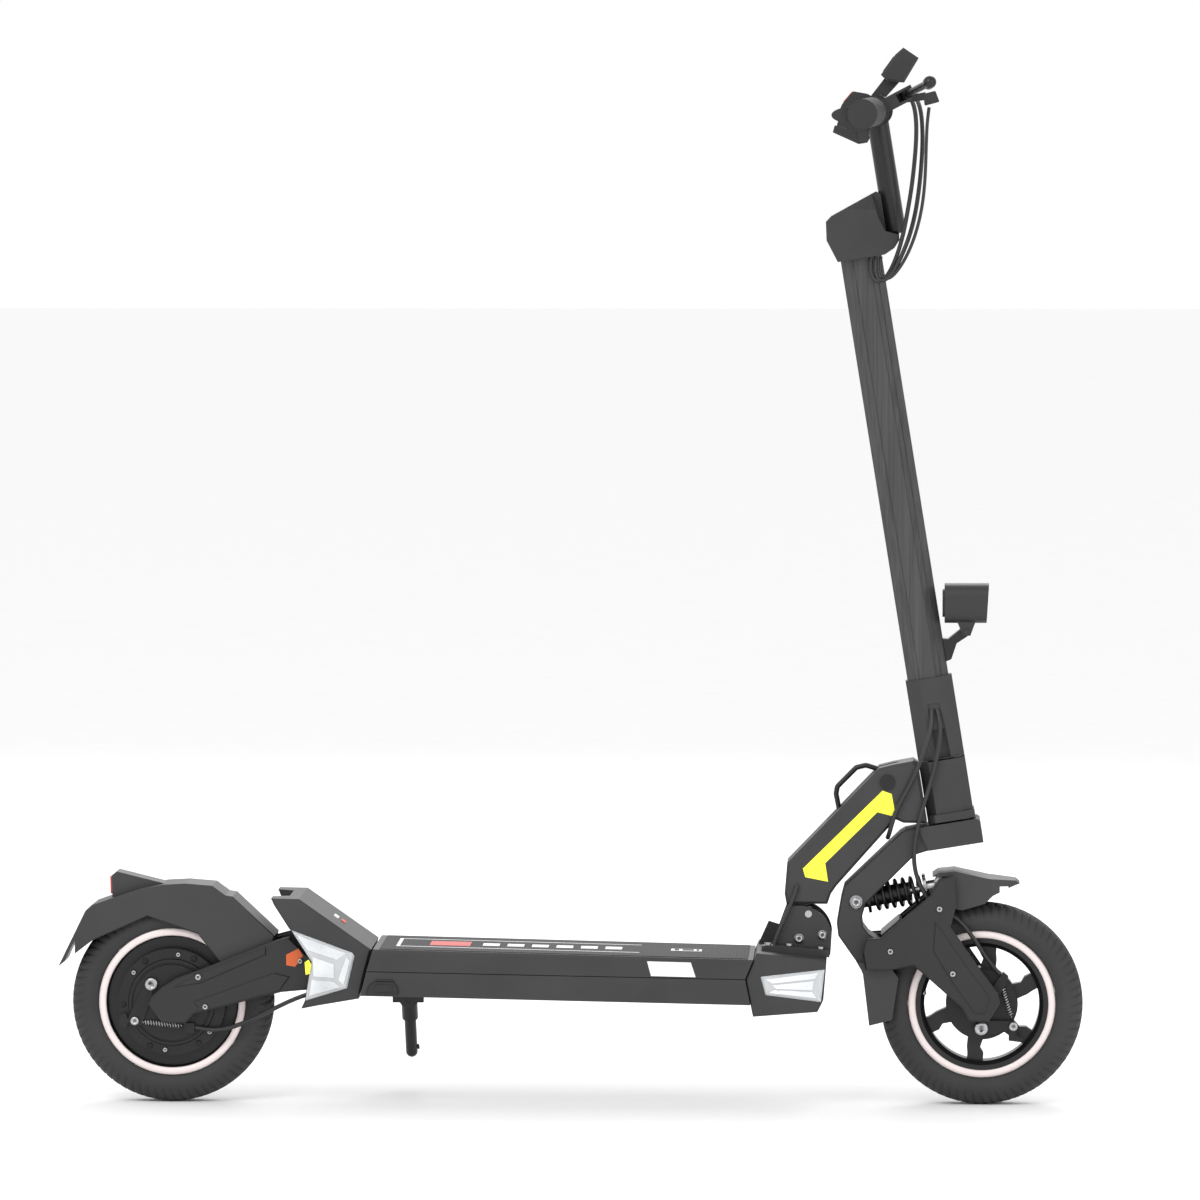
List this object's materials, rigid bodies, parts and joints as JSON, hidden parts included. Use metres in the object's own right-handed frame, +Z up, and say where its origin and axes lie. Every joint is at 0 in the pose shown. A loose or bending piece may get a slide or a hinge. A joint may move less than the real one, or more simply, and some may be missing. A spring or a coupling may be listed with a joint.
{
  "type": "electric kick scooter",
  "caption": "Folding electric kick scooter with a long deck, octagonal stem, swing arms, drum brakes, hub motor, fenders, headlight and lit side panels.",
  "frame": {"origin": "centre of the bounding box, on the ground under the tyres", "axes": "+X forward, +Y to the rider's left, +Z up"},
  "size_m": [1.169, 0.6026, 1.2024],
  "materials": {
    "tyre": "matte, sipes across the tread",
    "rim_black": "black powder coat with a bright rim flange",
    "steel": "zinc plated",
    "spring_black": "gloss black",
    "motor": "cast, dark",
    "charcoal": "matte charcoal powder coat",
    "charcoal_cast": "matte charcoal over a casting",
    "black_metal": "satin black",
    "black_plastic": "fine grain",
    "rubber": "matte",
    "mat": "matte, ribbed",
    "lens": "clear, moulded",
    "button": "satin"
  },
  "bodies": {
    "deck": {"deck_cover": "charcoal", "deck_tray": "charcoal", "grip_mat": "mat", "battery_pack": "black_metal", "controller": "black_metal", "rear_housing": "charcoal", "signal_lenses": "lens", "front_box": "charcoal", "hinge_plates": "charcoal_cast", "frame_bolts": "steel", "kickstand_bracket": "black_metal"},
    "charge_cap": {"charge_cap": "rubber"},
    "kickstand": {"kickstand": "black_metal"},
    "neck": {"neck": "charcoal", "latch_pin": "steel", "head_block": "charcoal", "head_bearings": "steel", "wiring_leads": "rubber"},
    "latch_loop": {"latch_loop": "steel"},
    "steering": {"sleeve": "charcoal", "stem_tube": "charcoal", "stem_head": "charcoal_cast", "handlebar": "black_metal", "grips": "rubber", "display": "black_plastic", "bar_controls": "black_plastic", "front_frame": "charcoal", "suspension_bolts": "steel", "headlight_bracket": "black_metal", "cockpit_cables": "rubber", "front_brake_cable": "rubber"},
    "headlight": {"headlight": "black_plastic"},
    "brake_lever_left": {"brake_lever_left": "black_metal"},
    "brake_lever_right": {"brake_lever_right": "black_metal"},
    "throttle_lever": {"throttle_lever": "black_plastic"},
    "mode_button": {"mode_button": "button"},
    "shock_body": {"shock_body": "black_metal", "shock_spring": "spring_black"},
    "shock_rod": {"shock_rod": "steel"},
    "front_arm": {"front_arm": "charcoal", "front_arm_covers": "charcoal_cast", "front_fender": "black_plastic", "front_brake_plate": "steel", "front_axle": "steel"},
    "front_wheel": {"front_tyre": "tyre", "front_rim": "rim_black", "front_bearings": "steel"},
    "front_brake_cam": {"front_brake_cam": "steel"},
    "rear_arm": {"rear_arm": "charcoal", "rear_arm_covers": "charcoal_cast", "rear_fender": "black_plastic", "rear_brake_plate": "steel", "rear_axle": "steel", "motor_stator": "motor", "rear_brake_cable": "rubber"},
    "rear_wheel": {"rear_tyre": "tyre", "rear_rim": "rim_black", "motor_covers": "motor", "rear_bearings": "steel"},
    "rear_brake_cam": {"rear_brake_cam": "steel"}
  },
  "joints": [
    {"name": "fold", "type": "hinge", "parent": "deck", "child": "neck", "pos_m": [0.2613, 0, 0.1908], "axis": [0, -1, 0], "range_deg": [0, 78], "deforming": ["wiring_leads"]},
    {"name": "steering", "type": "hinge", "parent": "neck", "child": "steering", "pos_m": [0.4076, 0, 0.486], "axis": [-0.159, 0, 0.9873], "range_deg": [-35, 35]},
    {"name": "front_suspension", "type": "hinge", "parent": "steering", "child": "front_arm", "pos_m": [0.3449, 0, 0.1705], "axis": [0, -1, 0], "range_deg": [0, 9], "stiffness_Nm_per_rad": 300, "springref_deg": -4.58, "deforming": ["front_brake_cable"]},
    {"name": "shock_tilt", "type": "hinge", "parent": "steering", "child": "shock_body", "pos_m": [0.3264, 0, 0.2321], "axis": [0, -1, 0], "range_deg": [0, 8.8]},
    {"name": "shock_stroke", "type": "slide", "parent": "shock_body", "child": "shock_rod", "axis": [-0.9853, 0, -0.1706], "range_m": [0, 0.0102], "deforming": ["shock_spring"]},
    {"name": "front_wheel_spin", "type": "hinge", "parent": "front_arm", "child": "front_wheel", "pos_m": [0.4695, 0, 0.115], "axis": [0, 1, 0], "continuous": true},
    {"name": "rear_suspension", "type": "hinge", "parent": "deck", "child": "rear_arm", "pos_m": [-0.274, 0, 0.15], "axis": [0, 1, 0], "range_deg": [0, 7], "stiffness_Nm_per_rad": 400, "springref_deg": -4.58, "deforming": ["rear_brake_cable"]},
    {"name": "rear_wheel_spin", "type": "hinge", "parent": "rear_arm", "child": "rear_wheel", "pos_m": [-0.4545, 0, 0.115], "axis": [0, 1, 0], "continuous": true},
    {"name": "front_brake_cam", "type": "hinge", "parent": "front_arm", "child": "front_brake_cam", "pos_m": [0.4687, 0, 0.0882], "axis": [0, -1, 0], "range_deg": [0, 12.1]},
    {"name": "rear_brake_cam", "type": "hinge", "parent": "rear_arm", "child": "rear_brake_cam", "pos_m": [-0.4772, 0, 0.1361], "axis": [0, -1, 0], "range_deg": [0, 10]},
    {"name": "brake_lever_left", "type": "hinge", "parent": "steering", "child": "brake_lever_left", "pos_m": [0.3816, 0.132, 1.1492], "axis": [-0.4648, 0, 0.8854], "range_deg": [0, 15], "stiffness_Nm_per_rad": 1.5, "springref_deg": -5.73},
    {"name": "brake_lever_right", "type": "hinge", "parent": "steering", "child": "brake_lever_right", "pos_m": [0.3816, -0.132, 1.1492], "axis": [0.4648, 0, -0.8854], "range_deg": [0, 15], "stiffness_Nm_per_rad": 1.5, "springref_deg": -5.73},
    {"name": "throttle", "type": "hinge", "parent": "steering", "child": "throttle_lever", "pos_m": [0.3338, -0.159, 1.1008], "axis": [0, -1, 0], "range_deg": [0, 25], "stiffness_Nm_per_rad": 0.05, "springref_deg": -11.46},
    {"name": "mode_button", "type": "slide", "parent": "steering", "child": "mode_button", "axis": [0.7599, 0, -0.65], "range_m": [0, 0.0012], "stiffness_N_per_m": 500, "springref_m": -0.0005},
    {"name": "headlight_tilt", "type": "hinge", "parent": "steering", "child": "headlight", "pos_m": [0.4511, 0, 0.5392], "axis": [0, 1, 0], "range_deg": [-5, 20]},
    {"name": "kickstand", "type": "hinge", "parent": "deck", "child": "kickstand", "pos_m": [-0.1902, 0.097, 0.109], "axis": [0, 1, 0], "range_deg": [0, 90]},
    {"name": "charge_cap", "type": "hinge", "parent": "deck", "child": "charge_cap", "pos_m": [-0.209, -0.0915, 0.1465], "axis": [-1, 0, 0], "range_deg": [0, 100]},
    {"name": "latch", "type": "hinge", "parent": "neck", "child": "latch_loop", "pos_m": [0.3616, 0, 0.369], "axis": [0, 1, 0], "range_deg": [0, 25]}
  ],
  "couplings": [
    {"joint": "shock_tilt", "follows": "front_suspension", "ratio": 0.968},
    {"joint": "shock_stroke", "follows": "front_suspension", "m_per_rad": 0.064},
    {"joint": "front_brake_cam", "follows": "brake_lever_right", "ratio": 0.8},
    {"joint": "rear_brake_cam", "follows": "brake_lever_left", "ratio": 0.66}
  ]
}
